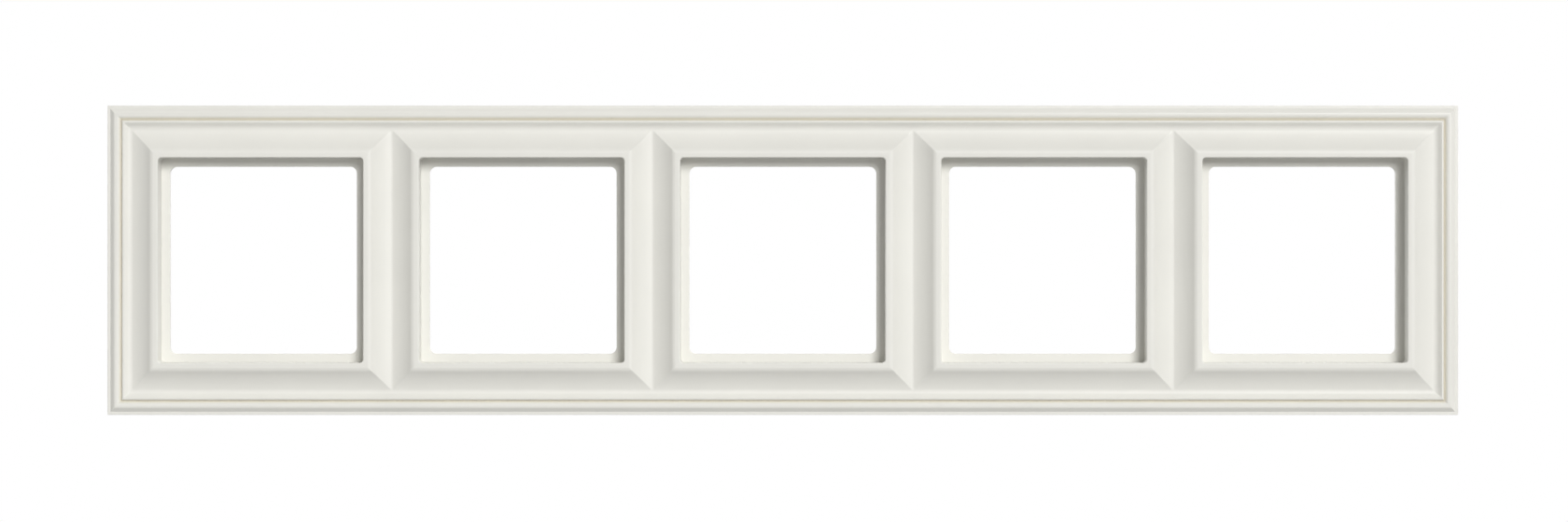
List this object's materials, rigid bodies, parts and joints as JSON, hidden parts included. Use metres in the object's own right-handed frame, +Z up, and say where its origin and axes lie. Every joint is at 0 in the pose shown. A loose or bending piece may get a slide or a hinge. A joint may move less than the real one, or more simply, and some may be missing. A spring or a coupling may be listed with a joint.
{
  "type": "multi-gang cover frame",
  "caption": "Long white moulded cover frame for flush wall devices: a beaded border round an inner moulding with a row of square wells, each with a raised rim and a ledge.",
  "frame": {"origin": "centre of the back edge's outline, on the wall plane", "axes": "+X along the row of openings, +Z up, +Y into the wall, so the front faces -Y"},
  "size_m": [0.3682, 0.01, 0.0842],
  "materials": {
    "border_plastic": "glossy warm white moulded plastic",
    "moulding_plastic": "glossy warm white moulded plastic",
    "ring_plastic": "glossy warm white moulded plastic"
  },
  "bodies": {
    "root": {"outer_frame": "border_plastic", "inner_frame": "moulding_plastic", "clip_ring_1": "ring_plastic", "clip_ring_2": "ring_plastic", "clip_ring_3": "ring_plastic", "clip_ring_4": "ring_plastic", "clip_ring_5": "ring_plastic"}
  },
  "joints": []
}
